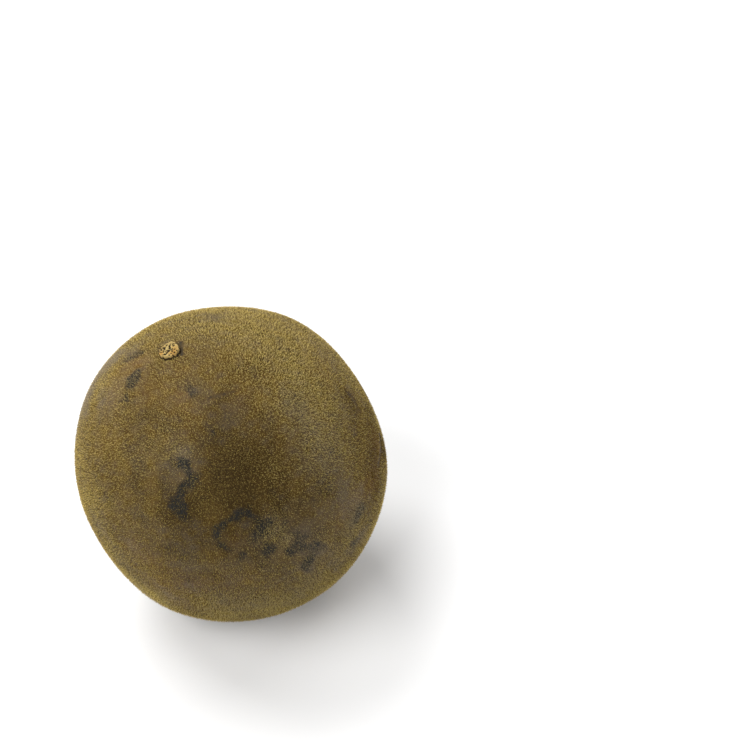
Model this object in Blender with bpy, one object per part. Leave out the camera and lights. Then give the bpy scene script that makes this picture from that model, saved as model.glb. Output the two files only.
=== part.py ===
"""A dried monk fruit, whole, with its rind on.

The fruit grew as one piece, so it is one closed solid: a slightly long round body with the low
unevenness of a rind that dried, the corky scar where its stalk broke off at one end, the small
button left by the flower at the other, and the flat spot on which it settles. It leans as it
came to rest, with the stalk scar a little to one side of the top. Metres, +Z up, with the
origin under the middle of the body on the surface it stands on.
"""

import math

import bpy
import numpy as np

# Driving dimensions in metres: the body
ACROSS = 0.058
LENGTH = 0.063
TILT = math.radians(17.3)
LEAN = math.radians(194.3)
FLAT_RADIUS = 0.006

# The stalk scar: a broken corky stub in a narrow crevice
SCAR_LONG = 0.0040
SCAR_SHORT = 0.0037
SCAR_TURN = math.radians(245)
SCAR_PROUD = 0.00045
SCAR_EDGE_UNEVEN = 0.045
CREVICE_DEPTH = 0.00025

# The flower's button at the other end
BUTTON_RADIUS = 0.0011
BUTTON_PROUD = 0.0004

# Low places and swellings of the dried rind: degrees from the stalk scar along the side,
# degrees round the fruit, height in metres, and half width in degrees
SWELLINGS = (
    (108, 178, 0.00030, 15),
    (84, 199, -0.00034, 17),
    (59, 223, 0.00030, 13),
    (40, 258, -0.00036, 17),
    (45, 343, 0.00032, 17),
    (88, 31, -0.00026, 17),
    (111, 55, 0.00030, 15),
    (131, 106, -0.00024, 20),
    (70, 108, 0.00026, 22),
    (100, 140, -0.00026, 18),
    (122, 228, 0.00028, 20),
    (104, 262, -0.00030, 20),
    (78, 300, 0.00026, 20),
    (118, 318, -0.00028, 18),
    (62, 62, -0.00022, 18),
)

# Grid: points round the fruit, and rings from the stalk scar to the flower's button
POINTS_ROUND = 72
SCAR_RINGS = (0.3, 0.6, 0.85, 0.95, 1.05, 1.15, 1.3, 1.6, 2.0)
BODY_RINGS = 40
BUTTON_RINGS = (0.45, 0.85, 1.0, 1.25, 1.7)


def smooth_step(value, low, high):
    """0 below low and 1 above high, with a smooth S between them."""
    share = np.clip((value - low) / (high - low), 0.0, 1.0)
    return share * share * (3.0 - 2.0 * share)


def fruit_axes():
    """The fruit's own axes in the row: towards the stalk scar, and two across it."""
    stalk = np.array(
        (
            math.sin(TILT) * math.cos(LEAN),
            math.sin(TILT) * math.sin(LEAN),
            math.cos(TILT),
        )
    )
    side = np.cross(stalk, (0.0, 1.0, 0.0))
    side /= np.linalg.norm(side)
    return stalk, side, np.cross(stalk, side)


def scar_edge(turn):
    """The scar's edge, as a distance from its middle: an oval with four low corners."""
    half_long, half_short = SCAR_LONG / 2, SCAR_SHORT / 2
    across = turn - SCAR_TURN
    oval = half_long * half_short / np.hypot(
        half_short * np.cos(across), half_long * np.sin(across)
    )
    corners = np.cos(4 * across - 0.5) + 0.8 * np.cos(across)
    return oval * (1 + SCAR_EDGE_UNEVEN * corners)


def scar_height(step):
    """Height of the stalk scar over the body; step is the distance in scar edges."""
    stub = SCAR_PROUD * (1 - smooth_step(step, 0.9, 1.1))
    hollow = 0.25 * SCAR_PROUD * (1 - smooth_step(step, 0.0, 0.7))
    crevice = CREVICE_DEPTH * np.exp(-(((step - 1.16) / 0.14) ** 2))
    rim = 0.4 * CREVICE_DEPTH * np.exp(-(((step - 1.7) / 0.4) ** 2))
    return stub - hollow - crevice + rim


def button_height(step):
    """Height of the flower's button; step is the distance in button radii."""
    dome = BUTTON_PROUD * (1 - smooth_step(step, 0.6, 1.15))
    pit = 0.5 * BUTTON_PROUD * np.exp(-((step / 0.4) ** 2))
    groove = 0.35 * BUTTON_PROUD * np.exp(-(((step - 1.3) / 0.25) ** 2))
    return dome - pit - groove


def swelling_height(polar, turn):
    """Sum of soft round hills and hollows, each a bell curve of the angle from its middle."""
    here = np.stack(
        (np.sin(polar) * np.cos(turn), np.sin(polar) * np.sin(turn), np.cos(polar)), -1
    )
    total = np.zeros(polar.shape)
    for down, round_it, height, width in SWELLINGS:
        down, round_it, width = (math.radians(v) for v in (down, round_it, width))
        middle = (
            math.sin(down) * math.cos(round_it),
            math.sin(down) * math.sin(round_it),
            math.cos(down),
        )
        apart = np.arccos(np.clip(here @ np.array(middle), -1.0, 1.0))
        total += height * np.exp(-((apart / width) ** 2))
    return total


def fruit_points(polar, turn):
    """Points of the skin. polar is the angle from the stalk scar and turn the angle round.

    The body is an ellipsoid of revolution, raised along its own normal by the swellings, the
    scar and the button. It stands with its lowest part cut level at Z = 0.
    """
    radius, half = ACROSS / 2, LENGTH / 2
    stalk, side, other = fruit_axes()
    around = np.cos(turn)[..., None] * side + np.sin(turn)[..., None] * other
    along, out = np.cos(polar)[..., None], np.sin(polar)[..., None]
    skin = half * along * stalk + radius * out * around
    normal = along / half * stalk + out / radius * around
    normal /= np.linalg.norm(normal, axis=-1, keepdims=True)
    from_scar = radius * polar / scar_edge(turn)
    from_button = radius * (math.pi - polar) / BUTTON_RADIUS
    height = (
        swelling_height(polar, turn) + scar_height(from_scar) + button_height(from_button)
    )
    return skin + height[..., None] * normal


def ring_angles():
    """Polar angle of each ring and point: the first rings follow the scar's uneven edge."""
    turn = np.linspace(0.0, 2 * math.pi, POINTS_ROUND, endpoint=False)
    radius = ACROSS / 2
    mean_edge = (SCAR_LONG + SCAR_SHORT) / 4
    scar_steps = np.array(SCAR_RINGS)[:, None]
    follow = 1 - smooth_step(scar_steps, 1.3, 2.0)
    near = scar_steps * (mean_edge + (scar_edge(turn) - mean_edge) * follow) / radius
    button = math.pi - np.array(BUTTON_RINGS[::-1]) * BUTTON_RADIUS / radius
    last_near = SCAR_RINGS[-1] * mean_edge / radius
    body = np.linspace(last_near, button[0], BODY_RINGS + 2)[1:-1]
    far = np.concatenate((body, button))[:, None] + np.zeros(POINTS_ROUND)
    rings = np.concatenate((near, far))
    return rings, np.broadcast_to(turn, rings.shape)


def fruit_faces(rings):
    """Faces of the grid, with a fan of triangles at each pole, all wound to face out."""
    points = POINTS_ROUND
    first_pole, last_pole = rings * points, rings * points + 1
    faces = []
    for k in range(points):
        after = (k + 1) % points
        faces.append((first_pole, k, after))
        for ring in range(rings - 1):
            here, below = ring * points, (ring + 1) * points
            faces.append((here + k, below + k, below + after, here + after))
        end = (rings - 1) * points
        faces.append((last_pole, end + after, end + k))
    return faces


def set_down(points):
    """Lowers the fruit until its lowest part is cut to the flat spot, and centres its box."""
    settle = FLAT_RADIUS**2 / ACROSS
    low, high = points.min(0), points.max(0)
    middle = (low + high) / 2
    points = points - (middle[0], middle[1], low[2] + settle)
    points[:, 2] = np.maximum(points[:, 2], 0.0)
    return points


def rind_material():
    material = bpy.data.materials.new("dried_rind")
    material.use_nodes = True
    shader = material.node_tree.nodes["Principled BSDF"]
    shader.inputs["Base Color"].default_value = (0.150, 0.105, 0.032, 1.0)
    shader.inputs["Roughness"].default_value = 0.8
    shader.inputs["Metallic"].default_value = 0.0
    return material


def make_fruit():
    polar, turn = ring_angles()
    skin = fruit_points(polar, turn).reshape(-1, 3)
    poles = fruit_points(np.array((0.0, math.pi)), np.zeros(2))
    points = set_down(np.concatenate((skin, poles)))
    mesh = bpy.data.meshes.new("monk_fruit")
    mesh.from_pydata(points.tolist(), [], fruit_faces(len(polar)))
    mesh.materials.append(rind_material())
    mesh.shade_smooth()
    fruit = bpy.data.objects.new("monk_fruit", mesh)
    bpy.context.scene.collection.objects.link(fruit)
    return fruit


for old in list(bpy.data.objects):
    bpy.data.objects.remove(old)
make_fruit()
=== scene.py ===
import math

import bpy
import numpy as np
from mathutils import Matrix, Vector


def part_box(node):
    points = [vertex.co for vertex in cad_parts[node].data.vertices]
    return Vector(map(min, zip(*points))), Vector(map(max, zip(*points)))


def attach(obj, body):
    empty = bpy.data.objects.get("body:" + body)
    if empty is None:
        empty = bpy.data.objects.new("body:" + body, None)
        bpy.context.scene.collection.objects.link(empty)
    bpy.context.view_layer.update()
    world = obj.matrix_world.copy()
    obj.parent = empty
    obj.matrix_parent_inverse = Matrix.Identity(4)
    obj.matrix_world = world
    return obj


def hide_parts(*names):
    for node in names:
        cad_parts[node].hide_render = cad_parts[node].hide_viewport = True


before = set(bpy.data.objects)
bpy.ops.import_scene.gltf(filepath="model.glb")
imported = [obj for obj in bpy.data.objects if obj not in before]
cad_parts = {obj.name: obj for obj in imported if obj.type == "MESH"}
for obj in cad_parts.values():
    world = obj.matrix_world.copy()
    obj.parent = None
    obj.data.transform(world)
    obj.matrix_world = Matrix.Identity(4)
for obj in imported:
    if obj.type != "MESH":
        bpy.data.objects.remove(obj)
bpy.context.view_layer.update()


# The camera
# A short telephoto looks down on the fruit from the front. The fruit stands left of and below
# the middle of the square picture, so the camera aims at a spot of the floor behind it.
PICTURE_PX = 750
LENS_MM = 66.0
SENSOR_MM = 36.0
LOOK_DOWN = math.radians(41.2)
CAMERA_AWAY = 0.3281
AIM = np.array((0.0270, 0.0608, 0.0))

TO_CAMERA = np.array((0.0, -math.cos(LOOK_DOWN), math.sin(LOOK_DOWN)))
PICTURE_UP = np.array((0.0, math.sin(LOOK_DOWN), math.cos(LOOK_DOWN)))
PICTURE_RIGHT = np.array((1.0, 0.0, 0.0))
CAMERA_AT = AIM + CAMERA_AWAY * TO_CAMERA

camera_data = bpy.data.cameras.new("camera")
camera_data.lens = LENS_MM
camera_data.sensor_width = SENSOR_MM
camera_data.clip_start = 0.01
camera = bpy.data.objects.new("camera", camera_data)
camera.location = CAMERA_AT
camera.rotation_euler = (math.pi / 2 - LOOK_DOWN, 0.0, 0.0)
bpy.context.scene.collection.objects.link(camera)
bpy.context.scene.camera = camera


# The rind
# The dry shell of the fruit: a thin, brittle gourd rind that shrank and darkened as it was
# dried over a slow fire. It is one closed skin, a slightly long round with low swellings, with
# a crevice round the stalk scar, a button at the flower end and the flat spot it stands on.
ACROSS = 0.058
LENGTH = 0.063
TILT = math.radians(17.3)
LEAN = math.radians(194.3)

SCAR_MEAN = 0.00183
SCAR_ASIDE = 0.00029
SCAR_ASIDE_TURN = math.radians(170)
SCAR_PROUD = 0.00045

# The skin round the scar. Places and widths are in shares of the way to the scar's edge: where
# the crevice comes up to the skin, where the low rim lies, and up to where rings follow the edge.
CREVICE_DEPTH = 0.00025
CREVICE_WALL = (1.02, 1.24)
RIM_HEIGHT = 0.4 * CREVICE_DEPTH
RIM_AT, RIM_HALF_WIDTH = 1.7, 0.4
EDGE_FOLLOWED = (1.3, 2.0)

# Low corners of the scar's edge: how many round it, height in metres, degrees to the first
SCAR_CORNERS = ((2, 0.00002, -24), (3, 0.00009, 17), (4, 0.00004, -23))

# The button, with places and widths in shares of its radius: its rounded edge, the pit in its
# middle and the groove round it
BUTTON_RADIUS = 0.0011
BUTTON_PROUD = 0.0004
BUTTON_EDGE = (0.6, 1.15)
BUTTON_PIT_DEPTH = 0.5 * BUTTON_PROUD
BUTTON_PIT_WIDTH = 0.4
GROOVE_DEPTH = 0.35 * BUTTON_PROUD
GROOVE_AT, GROOVE_HALF_WIDTH = 1.3, 0.25

# The pile of hair gives the fruit its outer shape, so the bare skin lies a little under it
PILE_DEPTH = 0.00025

# Degrees from the stalk scar, degrees round the fruit, height in metres, half width in degrees
SWELLINGS = (
    (108, 178, 0.00030, 15),
    (84, 199, -0.00034, 17),
    (59, 223, 0.00030, 13),
    (40, 258, -0.00036, 17),
    (45, 343, 0.00032, 17),
    (88, 31, -0.00026, 17),
    (111, 55, 0.00030, 15),
    (131, 106, -0.00024, 20),
    (70, 108, 0.00026, 22),
    (100, 140, -0.00026, 18),
    (122, 228, 0.00028, 20),
    (104, 262, -0.00030, 20),
    (78, 300, 0.00026, 20),
    (118, 318, -0.00028, 18),
    (62, 62, -0.00022, 18),
)

STALK = np.array(
    (math.sin(TILT) * math.cos(LEAN), math.sin(TILT) * math.sin(LEAN), math.cos(TILT))
)
SIDE = np.cross(STALK, (0.0, 1.0, 0.0))
SIDE /= np.linalg.norm(SIDE)
OTHER = np.cross(STALK, SIDE)


def smooth_step(value, low, high):
    """0 below low and 1 above high, with a smooth S between them."""
    share = np.clip((value - low) / (high - low), 0.0, 1.0)
    return share * share * (3.0 - 2.0 * share)


def scar_edge(turn):
    """The scar's edge, as a distance from the pole: a round, set aside, with low corners."""
    edge = SCAR_MEAN + SCAR_ASIDE * np.cos(turn - SCAR_ASIDE_TURN)
    for count, height, first in SCAR_CORNERS:
        edge = edge + height * np.cos(count * (turn - math.radians(first)))
    return edge


def scar_bed_height(step):
    """The skin round the scar: a crevice outside its edge, then a low rim, then level skin.

    Under the scar itself the skin stays sunk, because the corky stub is laid over it.
    """
    sunk = CREVICE_DEPTH * (1 - smooth_step(step, *CREVICE_WALL))
    rim = RIM_HEIGHT * np.exp(-(((step - RIM_AT) / RIM_HALF_WIDTH) ** 2))
    return rim - sunk


def button_height(step):
    """Height of the flower's button: a dome less a pit and a groove, both bell curves.

    step is the distance from its middle in button radii.
    """
    dome = BUTTON_PROUD * (1 - smooth_step(step, *BUTTON_EDGE))
    pit = BUTTON_PIT_DEPTH * np.exp(-((step / BUTTON_PIT_WIDTH) ** 2))
    groove = GROOVE_DEPTH * np.exp(-(((step - GROOVE_AT) / GROOVE_HALF_WIDTH) ** 2))
    return dome - pit - groove


def swelling_height(polar, turn):
    """Sum of soft round hills and hollows, each a bell curve of the angle from its middle."""
    here = np.stack(
        (np.sin(polar) * np.cos(turn), np.sin(polar) * np.sin(turn), np.cos(polar)), -1
    )
    total = np.zeros(np.shape(polar))
    for down, round_it, height, width in SWELLINGS:
        down, round_it, width = (math.radians(v) for v in (down, round_it, width))
        middle = (
            math.sin(down) * math.cos(round_it),
            math.sin(down) * math.sin(round_it),
            math.cos(down),
        )
        apart = np.arccos(np.clip(here @ np.array(middle), -1.0, 1.0))
        total += height * np.exp(-((apart / width) ** 2))
    return total


# How many waves one random field is made of, and how much they differ in length
FIELD_WAVES = 28
WAVE_STRETCH = (0.75, 1.3)


def waves(points, length, seed):
    """A smooth random field, about -1 to 1: the sum of equal waves of about one length.

    Each wave is a cosine of the distance along its own seeded direction, plus a seeded phase.
    """
    draw = np.random.default_rng(seed)
    along = draw.normal(size=(FIELD_WAVES, 3))
    along /= np.linalg.norm(along, axis=1, keepdims=True)
    stretch = draw.uniform(*WAVE_STRETCH, (FIELD_WAVES, 1))
    phase = draw.uniform(0.0, 2 * math.pi, FIELD_WAVES)
    turns = points @ (along * stretch * (2 * math.pi / length)).T
    return np.cos(turns + phase).sum(-1) / math.sqrt(FIELD_WAVES)


def clouds(points, *fields):
    """Sum of random fields, each given by its share, its wave length in metres and its seed."""
    return sum(share * waves(points, length, seed) for share, length, seed in fields)


def skin_height(polar, turn):
    """Height of the bare skin: swellings, scar's bed and button, all under the pile of hair."""
    radius = ACROSS / 2
    bed = scar_bed_height(radius * polar / scar_edge(turn))
    button = button_height(radius * (math.pi - polar) / BUTTON_RADIUS)
    return swelling_height(polar, turn) + bed + button - PILE_DEPTH


def fruit_points(polar, turn, height):
    """Points over the body and their directions outwards, before the fruit is set down.

    polar is the angle from the stalk scar and turn the angle round. The body is an ellipsoid
    of revolution, raised along its own normal by the height.
    """
    radius, half = ACROSS / 2, LENGTH / 2
    around = np.cos(turn)[..., None] * SIDE + np.sin(turn)[..., None] * OTHER
    along, out = np.cos(polar)[..., None], np.sin(polar)[..., None]
    skin = half * along * STALK + radius * out * around
    normal = along / half * STALK + out / radius * around
    normal /= np.linalg.norm(normal, axis=-1, keepdims=True)
    return skin + height[..., None] * normal, normal


def ring_angles(round_it, scar_steps, body_rings, button_steps):
    """Polar angle of each ring and point: the first rings follow the scar's uneven edge."""
    turn = np.linspace(0.0, 2 * math.pi, round_it, endpoint=False)
    radius = ACROSS / 2
    steps = scar_steps[:, None]
    follow = 1 - smooth_step(steps, *EDGE_FOLLOWED)
    near = steps * (SCAR_MEAN + (scar_edge(turn) - SCAR_MEAN) * follow) / radius
    button = math.pi - button_steps[::-1] * BUTTON_RADIUS / radius
    last_near = scar_steps[-1] * SCAR_MEAN / radius
    body = np.linspace(last_near, button[0], body_rings + 2)[1:-1]
    far = np.concatenate((body, button))[:, None] + np.zeros(round_it)
    rings = np.concatenate((near, far))
    return rings, np.broadcast_to(turn, rings.shape)


def ball_faces(rings, points):
    """Corner numbers and face sizes of a grid of rings closed by a fan at each pole."""
    k = np.arange(points)
    after = (k + 1) % points
    ring = np.arange(rings - 1)[:, None] * points
    quads = np.stack(
        (ring + k, ring + points + k, ring + points + after, ring + after), -1
    ).reshape(-1, 4)
    first = np.stack((np.full(points, rings * points), k, after), -1)
    end = (rings - 1) * points
    last = np.stack((np.full(points, rings * points + 1), end + after, end + k), -1)
    corners = np.concatenate((first.ravel(), quads.ravel(), last.ravel()))
    sizes = np.concatenate((np.full(points, 3), np.full(len(quads), 4), np.full(points, 3)))
    return corners, sizes


def new_piece(name, points, corners, sizes, material, slot):
    """A smooth piece of the fruit made of whole arrays, riding on the one body."""
    mesh = bpy.data.meshes.new(name)
    mesh.vertices.add(len(points))
    mesh.vertices.foreach_set("co", points.astype(np.float32).ravel())
    mesh.loops.add(len(corners))
    mesh.loops.foreach_set("vertex_index", corners.astype(np.int32))
    mesh.polygons.add(len(sizes))
    starts = np.concatenate(((0,), np.cumsum(sizes)[:-1])).astype(np.int32)
    mesh.polygons.foreach_set("loop_start", starts)
    mesh.polygons.foreach_set("use_smooth", np.ones(len(sizes), bool))
    mesh.update(calc_edges=True)
    mesh.validate()
    mesh.materials.append(material)
    piece = bpy.data.objects.new(name, mesh)
    bpy.context.scene.collection.objects.link(piece)
    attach(piece, "root")
    return piece


def paint(piece, name, values):
    """Stores one number a point, which a material reads by name."""
    layer = piece.data.attributes.new(name, "FLOAT", "POINT")
    layer.data.foreach_set("value", values.astype(np.float32).ravel())


def linear(code):
    """An sRGB hex colour as Blender's linear colour, by the sRGB curve, with full alpha."""
    parts = [int(code[k : k + 2], 16) / 255 for k in (1, 3, 5)]
    return [
        *(p / 12.92 if p <= 0.04045 else ((p + 0.055) / 1.055) ** 2.4 for p in parts),
        1.0,
    ]


def add_node(tree, kind, settings=None, **links):
    """Adds one node: settings are its properties, and links its inputs, values or sockets.

    An input goes by its name, with _ for a space, or by its number after a _.
    """
    node = tree.nodes.new(kind)
    for key, value in (settings or {}).items():
        setattr(node, key, value)
    for key, value in links.items():
        socket = node.inputs[int(key[1:]) if key[0] == "_" else key.replace("_", " ")]
        if isinstance(value, bpy.types.NodeSocket):
            tree.links.new(value, socket)
        else:
            socket.default_value = value
    return node


# Set down: the fine skin stands where the plain solid stands, cut level on the floor
RIND_ROUND = 288
SCAR_RINGS = np.concatenate((np.linspace(0.25, 0.95, 5), np.linspace(1.0, 2.0, 16)))
BUTTON_RINGS = np.linspace(0.15, 1.8, 14)
BODY_RINGS = 168
rind_polar, rind_turn = ring_angles(RIND_ROUND, SCAR_RINGS, BODY_RINGS, BUTTON_RINGS)
rind_polar = np.concatenate((rind_polar.ravel(), (0.0, math.pi)))
rind_turn = np.concatenate((rind_turn.ravel(), (0.0, 0.0)))
rind_skin, _ = fruit_points(rind_polar, rind_turn, skin_height(rind_polar, rind_turn))
box_low, box_high = (np.array(corner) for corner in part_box("monk_fruit"))
middle = (rind_skin.min(0) + rind_skin.max(0)) / 2
FRUIT_AT = np.array(
    (
        (box_low[0] + box_high[0]) / 2 - middle[0],
        (box_low[1] + box_high[1]) / 2 - middle[1],
        box_high[2] - PILE_DEPTH - rind_skin[:, 2].max(),
    )
)


def set_down(points, floor=0.0):
    """Moves points of the fruit to where it stands, and none lower than the floor."""
    points = points + FRUIT_AT
    points[..., 2] = np.maximum(points[..., 2], floor)
    return points


def seen_at(x, y):
    """The point of the plain round body that shows at a pixel of the picture.

    The ray of that pixel meets the ellipsoid where a quadratic in its length is zero.
    """
    focal = LENS_MM / SENSOR_MM * PICTURE_PX
    half_px = PICTURE_PX / 2
    ray = PICTURE_RIGHT * (x - half_px) / focal - PICTURE_UP * (y - half_px) / focal
    ray = ray - TO_CAMERA
    start = CAMERA_AT - FRUIT_AT

    def squash(v):
        """Turns the ellipsoid into a ball of radius 1."""
        along = v @ STALK
        return v / (ACROSS / 2) + STALK * along * (2 / LENGTH - 2 / ACROSS)

    ball_ray, ball_start = squash(ray), squash(start)
    a, b, c = ball_ray @ ball_ray, ball_ray @ ball_start, ball_start @ ball_start
    length = (-b - math.sqrt(max(b * b - a * (c - 1), 0.0))) / a
    return start + length * ray + FRUIT_AT


# Marks on the side that shows: pixel x and y, radius in millimetres, strength
STAIN_MARKS = (
    (134, 377, 1.4, 1.9),
    (129, 383, 1.2, 1.0),
    (124, 399, 1.2, 1.2),
    (96, 424, 1.2, 0.6),
    (123, 362, 1.6, 0.7),
    (132, 355, 1.4, 0.8),
    (141, 352, 1.2, 0.9),
    (216, 396, 0.9, 0.6),
    (226, 394, 0.9, 0.5),
    (182, 387, 1.0, 0.7),
    (191, 390, 1.0, 0.7),
    (197, 398, 1.6, 0.5),
    (204, 406, 1.2, 0.35),
    (212, 435, 1.0, 1.0),
    (213, 446, 0.8, 0.8),
    (229, 422, 1.4, 0.5),
    (179, 461, 1.0, 0.7),
    (184, 463, 1.2, 1.5),
    (194, 473, 1.6, 0.65),
    (199, 481, 1.3, 0.55),
    (188, 482, 1.2, 0.7),
    (182, 488, 1.0, 0.9),
    (177, 495, 1.2, 0.9),
    (178, 506, 1.4, 1.7),
    (181, 515, 1.1, 0.9),
    (190, 520, 1.3, 0.5),
    (170, 508, 1.0, 0.5),
    (217, 533, 1.3, 1.0),
    (223, 525, 0.9, 0.9),
    (229, 521, 0.9, 0.9),
    (236, 517, 0.9, 0.9),
    (247, 513, 1.2, 2.0),
    (257, 519, 1.3, 0.6),
    (262, 529, 1.4, 0.6),
    (256, 533, 1.2, 0.5),
    (245, 551, 4.5, 0.25),
    (290, 562, 5.0, 0.2),
    (222, 547, 1.2, 1.0),
    (242, 557, 1.1, 0.7),
    (267, 531, 1.2, 0.55),
    (269, 550, 1.6, 0.8),
    (266, 526, 0.6, 1.0),
    (262, 534, 0.6, 0.8),
    (288, 551, 1.2, 0.4),
    (284, 524, 1.2, 0.4),
    (296, 532, 1.3, 0.3),
    (300, 543, 1.6, 0.5),
    (302, 551, 1.6, 0.55),
    (319, 547, 1.6, 0.8),
    (328, 550, 1.0, 0.6),
    (310, 564, 1.7, 1.2),
    (188, 582, 1.6, 0.8),
    (180, 590, 1.0, 0.8),
    (185, 558, 1.2, 0.4),
    (153, 594, 1.0, 0.4),
    (361, 514, 1.8, 1.8),
    (357, 543, 1.8, 1.3),
    (345, 395, 0.8, 0.5),
    (380, 448, 0.8, 0.45),
    (296, 447, 1.4, 0.45),
    (338, 473, 1.6, 0.55),
    (255, 497, 1.5, 0.45),
    (217, 318, 1.6, 0.4),
    (205, 351, 1.6, 0.3),
    (300, 530, 5.0, 0.3),
)
RUSSET_MARKS = (
    (145, 388, 4.0, 0.5),
    (138, 363, 3.0, 0.7),
    (178, 368, 3.0, 0.4),
    (178, 400, 2.5, 0.5),
    (200, 405, 4.0, 0.3),
    (182, 435, 3.0, 0.4),
    (178, 500, 2.0, 0.4),
    (180, 605, 4.0, 0.7),
    (378, 440, 3.0, 0.6),
    (110, 400, 3.5, 0.4),
    (242, 400, 3.0, 0.4),
    (190, 585, 4.0, 0.6),
    (158, 588, 4.0, 0.6),
    (150, 560, 4.0, 0.45),
    (125, 545, 4.0, 0.3),
    (235, 540, 2.5, 0.4),
    (345, 520, 4.0, 0.5),
    (235, 580, 5.0, 0.5),
    (370, 430, 5.0, 0.3),
    (375, 480, 4.0, 0.6),
    (310, 345, 5.0, 0.3),
    (118, 372, 3.5, 0.6),
    (335, 375, 5.0, 0.3),
    (360, 500, 4.0, 0.4),
)
# Thicker, brighter hair, partly real tufts and partly painted light: a broad brighter patch high
# on the right, a brighter lower rim and the lit ridge beside a groove near the right edge
TUFT_AND_LIGHT_MARKS = (
    (266, 530, 0.7, 2.0),
    (265, 541, 0.8, 1.4),
    (277, 529, 1.2, 2.0),
    (287, 538, 1.1, 2.0),
    (276, 538, 1.0, 1.2),
    (284, 547, 0.9, 2.0),
    (181, 451, 2.0, 1.7),
    (276, 472, 2.2, 1.0),
    (230, 614, 4.0, 0.6),
    (280, 608, 4.0, 0.6),
    (328, 590, 4.0, 0.8),
    (130, 578, 3.0, 0.5),
    (170, 425, 5.0, 0.4),
    (155, 465, 4.0, 0.2),
    (240, 330, 8.0, 0.6),
    (260, 365, 4.0, 0.4),
    (275, 350, 5.0, 0.9),
    (310, 345, 4.0, 0.9),
    (305, 390, 6.0, 1.4),
    (325, 400, 4.0, 0.6),
    (285, 415, 5.0, 0.6),
    (320, 435, 4.5, 1.1),
    (345, 450, 3.0, 1.1),
    (358, 392, 1.6, 0.6),
    (368, 410, 1.6, 0.6),
    (310, 455, 4.0, 0.4),
    (357, 518, 3.0, 1.7),
    (348, 545, 3.0, 0.8),
    (325, 575, 4.0, 0.9),
    (235, 575, 3.0, 0.4),
    (145, 585, 5.0, 0.7),
    (165, 600, 4.0, 1.0),
    (215, 606, 8.0, 0.5),
    (280, 603, 7.0, 0.8),
    (130, 378, 4.0, 0.4),
    (150, 603, 4.0, 1.0),
    (115, 575, 3.0, 0.6),
    (90, 500, 5.0, 0.5),
    (110, 545, 4.0, 0.4),
    (185, 330, 4.0, 0.4),
)
# Darker places: a band down the middle, and painted shade along the right edge and on the shaded
# side of a groove near it
DARK_TONE_AND_SHADE_MARKS = (
    (223, 417, 2.6, 0.4),
    (214, 440, 3.5, 0.45),
    (235, 462, 4.5, 0.5),
    (247, 484, 5.5, 0.6),
    (252, 512, 3.0, 0.2),
    (183, 512, 3.0, 0.5),
    (200, 535, 4.0, 0.3),
    (242, 543, 4.0, 0.4),
    (190, 560, 4.0, 0.2),
    (300, 510, 4.0, 0.2),
    (288, 485, 2.5, 0.2),
    (350, 400, 2.2, 0.8),
    (358, 420, 2.6, 0.2),
    (367, 387, 2.0, 1.1),
    (373, 400, 2.2, 0.6),
    (372, 414, 2.6, 0.8),
    (375, 440, 3.2, 0.9),
    (375, 468, 3.2, 0.9),
    (376, 492, 2.5, 0.6),
    (384, 450, 2.8, 1.6),
    (215, 316, 2.5, 0.5),
    (268, 448, 3.0, 0.35),
    (310, 512, 4.0, 0.3),
    (222, 405, 3.0, 0.3),
    (165, 485, 2.5, 0.25),
    (185, 540, 3.0, 0.25),
    (232, 498, 4.5, 0.2),
    (188, 515, 4.0, 0.2),
    (178, 505, 2.0, 0.4),
    (246, 515, 2.2, 0.5),
    (222, 529, 2.0, 0.2),
)
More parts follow.
